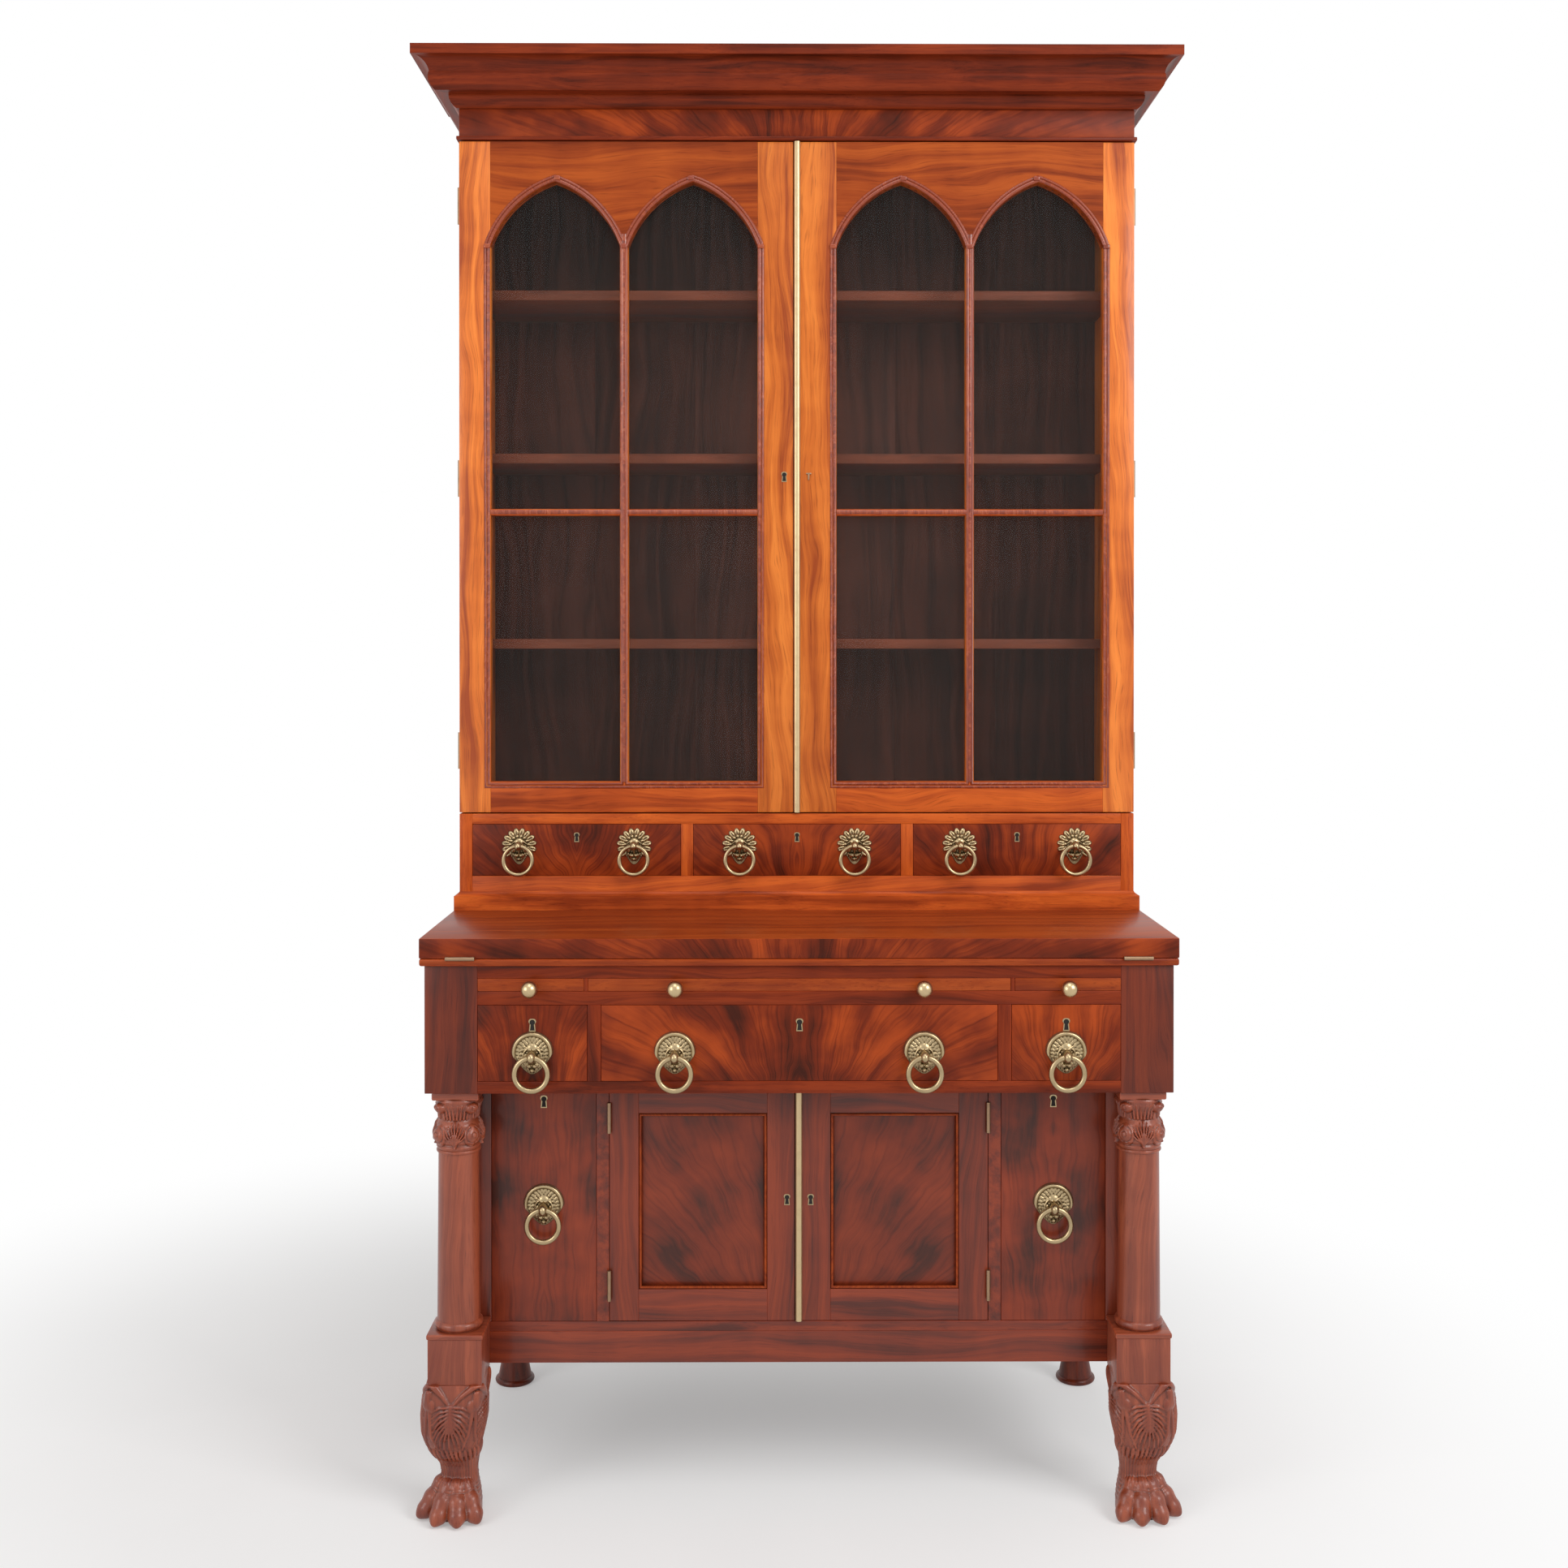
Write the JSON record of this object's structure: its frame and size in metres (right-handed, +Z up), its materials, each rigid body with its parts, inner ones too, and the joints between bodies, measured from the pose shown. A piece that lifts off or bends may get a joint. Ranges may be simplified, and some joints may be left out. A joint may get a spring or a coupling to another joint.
{
  "type": "secretaire bookcase",
  "caption": "Tall mahogany secretaire bookcase: arched glazed doors over small drawers, a fold-over desk flap, drawers, cupboard, columns and carved paw feet.",
  "frame": {"origin": "middle of the footprint on the floor, half-way between the toe tips and the back", "axes": "+X to the viewer's right, +Y to the back, +Z up"},
  "size_m": [1.236, 0.575, 2.254],
  "materials": {
    "golden_mahogany": "polished",
    "red_mahogany": "polished",
    "inner_wood": "oiled",
    "aged_brass": "aged",
    "window_glass": "clear"
  },
  "bodies": {
    "carcase": {"lower_sides": "red_mahogany", "lower_boards": "inner_wood", "lower_face_frame": "red_mahogany", "back_boards": "inner_wood", "desk_bed": "red_mahogany", "columns": "red_mahogany", "plinths": "red_mahogany", "front_feet": "red_mahogany", "rear_feet": "red_mahogany", "upper_sides": "golden_mahogany", "upper_boards": "inner_wood", "upper_face_frame": "golden_mahogany", "base_moulding": "golden_mahogany", "frieze_board": "red_mahogany", "cornice": "red_mahogany", "bookshelves": "inner_wood", "hinges": "aged_brass"},
    "writing_flap": {"writing_flap": "red_mahogany"},
    "left_loper": {"left_loper": "red_mahogany", "left_loper_knob": "aged_brass"},
    "right_loper": {"right_loper": "red_mahogany", "right_loper_knob": "aged_brass"},
    "centre_slide": {"centre_slide": "red_mahogany", "centre_slide_knobs": "aged_brass"},
    "left_small_drawer": {"left_small_drawer": "red_mahogany", "left_small_drawer_plates": "aged_brass"},
    "left_small_drawer_a_ring": {"left_small_drawer_a_ring": "aged_brass"},
    "left_small_drawer_b_ring": {"left_small_drawer_b_ring": "aged_brass"},
    "centre_small_drawer": {"centre_small_drawer": "red_mahogany", "centre_small_drawer_plates": "aged_brass"},
    "centre_small_drawer_a_ring": {"centre_small_drawer_a_ring": "aged_brass"},
    "centre_small_drawer_b_ring": {"centre_small_drawer_b_ring": "aged_brass"},
    "right_small_drawer": {"right_small_drawer": "red_mahogany", "right_small_drawer_plates": "aged_brass"},
    "right_small_drawer_a_ring": {"right_small_drawer_a_ring": "aged_brass"},
    "right_small_drawer_b_ring": {"right_small_drawer_b_ring": "aged_brass"},
    "left_frieze_drawer": {"left_frieze_drawer": "red_mahogany", "left_frieze_drawer_plates": "aged_brass"},
    "left_frieze_drawer_ring": {"left_frieze_drawer_ring": "aged_brass"},
    "right_frieze_drawer": {"right_frieze_drawer": "red_mahogany", "right_frieze_drawer_plates": "aged_brass"},
    "right_frieze_drawer_ring": {"right_frieze_drawer_ring": "aged_brass"},
    "centre_frieze_drawer": {"centre_frieze_drawer": "red_mahogany", "centre_frieze_drawer_plates": "aged_brass"},
    "centre_frieze_drawer_a_ring": {"centre_frieze_drawer_a_ring": "aged_brass"},
    "centre_frieze_drawer_b_ring": {"centre_frieze_drawer_b_ring": "aged_brass"},
    "left_bottle_drawer": {"left_bottle_drawer": "red_mahogany", "left_bottle_drawer_plates": "aged_brass"},
    "left_bottle_drawer_ring": {"left_bottle_drawer_ring": "aged_brass"},
    "right_bottle_drawer": {"right_bottle_drawer": "red_mahogany", "right_bottle_drawer_plates": "aged_brass"},
    "right_bottle_drawer_ring": {"right_bottle_drawer_ring": "aged_brass"},
    "left_upper_door": {"left_upper_door": "golden_mahogany", "left_glass": "window_glass"},
    "left_lower_door": {"left_lower_door": "red_mahogany"},
    "right_upper_door": {"right_upper_door": "golden_mahogany", "right_glass": "window_glass", "upper_astragal": "aged_brass"},
    "right_lower_door": {"right_lower_door": "red_mahogany", "lower_astragal": "aged_brass"}
  },
  "joints": [
    {"name": "writing_flap_fold", "type": "hinge", "parent": "carcase", "child": "writing_flap", "pos_m": [0, -0.2629, 0.8322], "axis": [1, 0, 0], "range_deg": [0, 180]},
    {"name": "left_loper_travel", "type": "slide", "parent": "carcase", "child": "left_loper", "axis": [0, -1, 0], "range_m": [0, 0.26]},
    {"name": "right_loper_travel", "type": "slide", "parent": "carcase", "child": "right_loper", "axis": [0, -1, 0], "range_m": [0, 0.26]},
    {"name": "centre_slide_travel", "type": "slide", "parent": "carcase", "child": "centre_slide", "axis": [0, -1, 0], "range_m": [0, 0.26]},
    {"name": "left_small_drawer_travel", "type": "slide", "parent": "carcase", "child": "left_small_drawer", "axis": [0, -1, 0], "range_m": [0, 0.17]},
    {"name": "left_small_drawer_a_ring_lift", "type": "hinge", "parent": "left_small_drawer", "child": "left_small_drawer_a_ring", "pos_m": [-0.4545, 0.0095, 0.967], "axis": [-1, 0, 0], "range_deg": [0, 120]},
    {"name": "left_small_drawer_b_ring_lift", "type": "hinge", "parent": "left_small_drawer", "child": "left_small_drawer_b_ring", "pos_m": [-0.2665, 0.0095, 0.967], "axis": [-1, 0, 0], "range_deg": [0, 120]},
    {"name": "centre_small_drawer_travel", "type": "slide", "parent": "carcase", "child": "centre_small_drawer", "axis": [0, -1, 0], "range_m": [0, 0.17]},
    {"name": "centre_small_drawer_a_ring_lift", "type": "hinge", "parent": "centre_small_drawer", "child": "centre_small_drawer_a_ring", "pos_m": [-0.094, 0.0095, 0.967], "axis": [-1, 0, 0], "range_deg": [0, 120]},
    {"name": "centre_small_drawer_b_ring_lift", "type": "hinge", "parent": "centre_small_drawer", "child": "centre_small_drawer_b_ring", "pos_m": [0.094, 0.0095, 0.967], "axis": [-1, 0, 0], "range_deg": [0, 120]},
    {"name": "right_small_drawer_travel", "type": "slide", "parent": "carcase", "child": "right_small_drawer", "axis": [0, -1, 0], "range_m": [0, 0.17]},
    {"name": "right_small_drawer_a_ring_lift", "type": "hinge", "parent": "right_small_drawer", "child": "right_small_drawer_a_ring", "pos_m": [0.2665, 0.0095, 0.967], "axis": [-1, 0, 0], "range_deg": [0, 120]},
    {"name": "right_small_drawer_b_ring_lift", "type": "hinge", "parent": "right_small_drawer", "child": "right_small_drawer_b_ring", "pos_m": [0.4545, 0.0095, 0.967], "axis": [-1, 0, 0], "range_deg": [0, 120]},
    {"name": "left_frieze_drawer_travel", "type": "slide", "parent": "carcase", "child": "left_frieze_drawer", "axis": [0, -1, 0], "range_m": [0, 0.36]},
    {"name": "left_frieze_drawer_ring_lift", "type": "hinge", "parent": "left_frieze_drawer", "child": "left_frieze_drawer_ring", "pos_m": [-0.394, -0.2705, 0.688], "axis": [-1, 0, 0], "range_deg": [0, 120]},
    {"name": "right_frieze_drawer_travel", "type": "slide", "parent": "carcase", "child": "right_frieze_drawer", "axis": [0, -1, 0], "range_m": [0, 0.36]},
    {"name": "right_frieze_drawer_ring_lift", "type": "hinge", "parent": "right_frieze_drawer", "child": "right_frieze_drawer_ring", "pos_m": [0.394, -0.2705, 0.688], "axis": [-1, 0, 0], "range_deg": [0, 120]},
    {"name": "centre_frieze_drawer_travel", "type": "slide", "parent": "carcase", "child": "centre_frieze_drawer", "axis": [0, -1, 0], "range_m": [0, 0.36]},
    {"name": "centre_frieze_drawer_a_ring_lift", "type": "hinge", "parent": "centre_frieze_drawer", "child": "centre_frieze_drawer_a_ring", "pos_m": [-0.184, -0.2705, 0.688], "axis": [-1, 0, 0], "range_deg": [0, 120]},
    {"name": "centre_frieze_drawer_b_ring_lift", "type": "hinge", "parent": "centre_frieze_drawer", "child": "centre_frieze_drawer_b_ring", "pos_m": [0.184, -0.2705, 0.688], "axis": [-1, 0, 0], "range_deg": [0, 120]},
    {"name": "left_bottle_drawer_travel", "type": "slide", "parent": "carcase", "child": "left_bottle_drawer", "axis": [0, -1, 0], "range_m": [0, 0.3]},
    {"name": "left_bottle_drawer_ring_lift", "type": "hinge", "parent": "left_bottle_drawer", "child": "left_bottle_drawer_ring", "pos_m": [-0.38675, -0.1975, 0.441], "axis": [-1, 0, 0], "range_deg": [0, 120]},
    {"name": "right_bottle_drawer_travel", "type": "slide", "parent": "carcase", "child": "right_bottle_drawer", "axis": [0, -1, 0], "range_m": [0, 0.3]},
    {"name": "right_bottle_drawer_ring_lift", "type": "hinge", "parent": "right_bottle_drawer", "child": "right_bottle_drawer_ring", "pos_m": [0.38675, -0.1975, 0.441], "axis": [-1, 0, 0], "range_deg": [0, 120]},
    {"name": "left_upper_door_swing", "type": "hinge", "parent": "carcase", "child": "left_upper_door", "pos_m": [-0.5553, 0.0468, 1.569], "axis": [0, 0, -1], "range_deg": [0, 120]},
    {"name": "left_lower_door_swing", "type": "hinge", "parent": "carcase", "child": "left_lower_door", "pos_m": [-0.2876, -0.1858, 0.45], "axis": [0, 0, -1], "range_deg": [0, 90]},
    {"name": "right_upper_door_swing", "type": "hinge", "parent": "carcase", "child": "right_upper_door", "pos_m": [0.5553, 0.0468, 1.569], "axis": [0, 0, 1], "range_deg": [0, 120]},
    {"name": "right_lower_door_swing", "type": "hinge", "parent": "carcase", "child": "right_lower_door", "pos_m": [0.2876, -0.1858, 0.45], "axis": [0, 0, 1], "range_deg": [0, 90]}
  ]
}
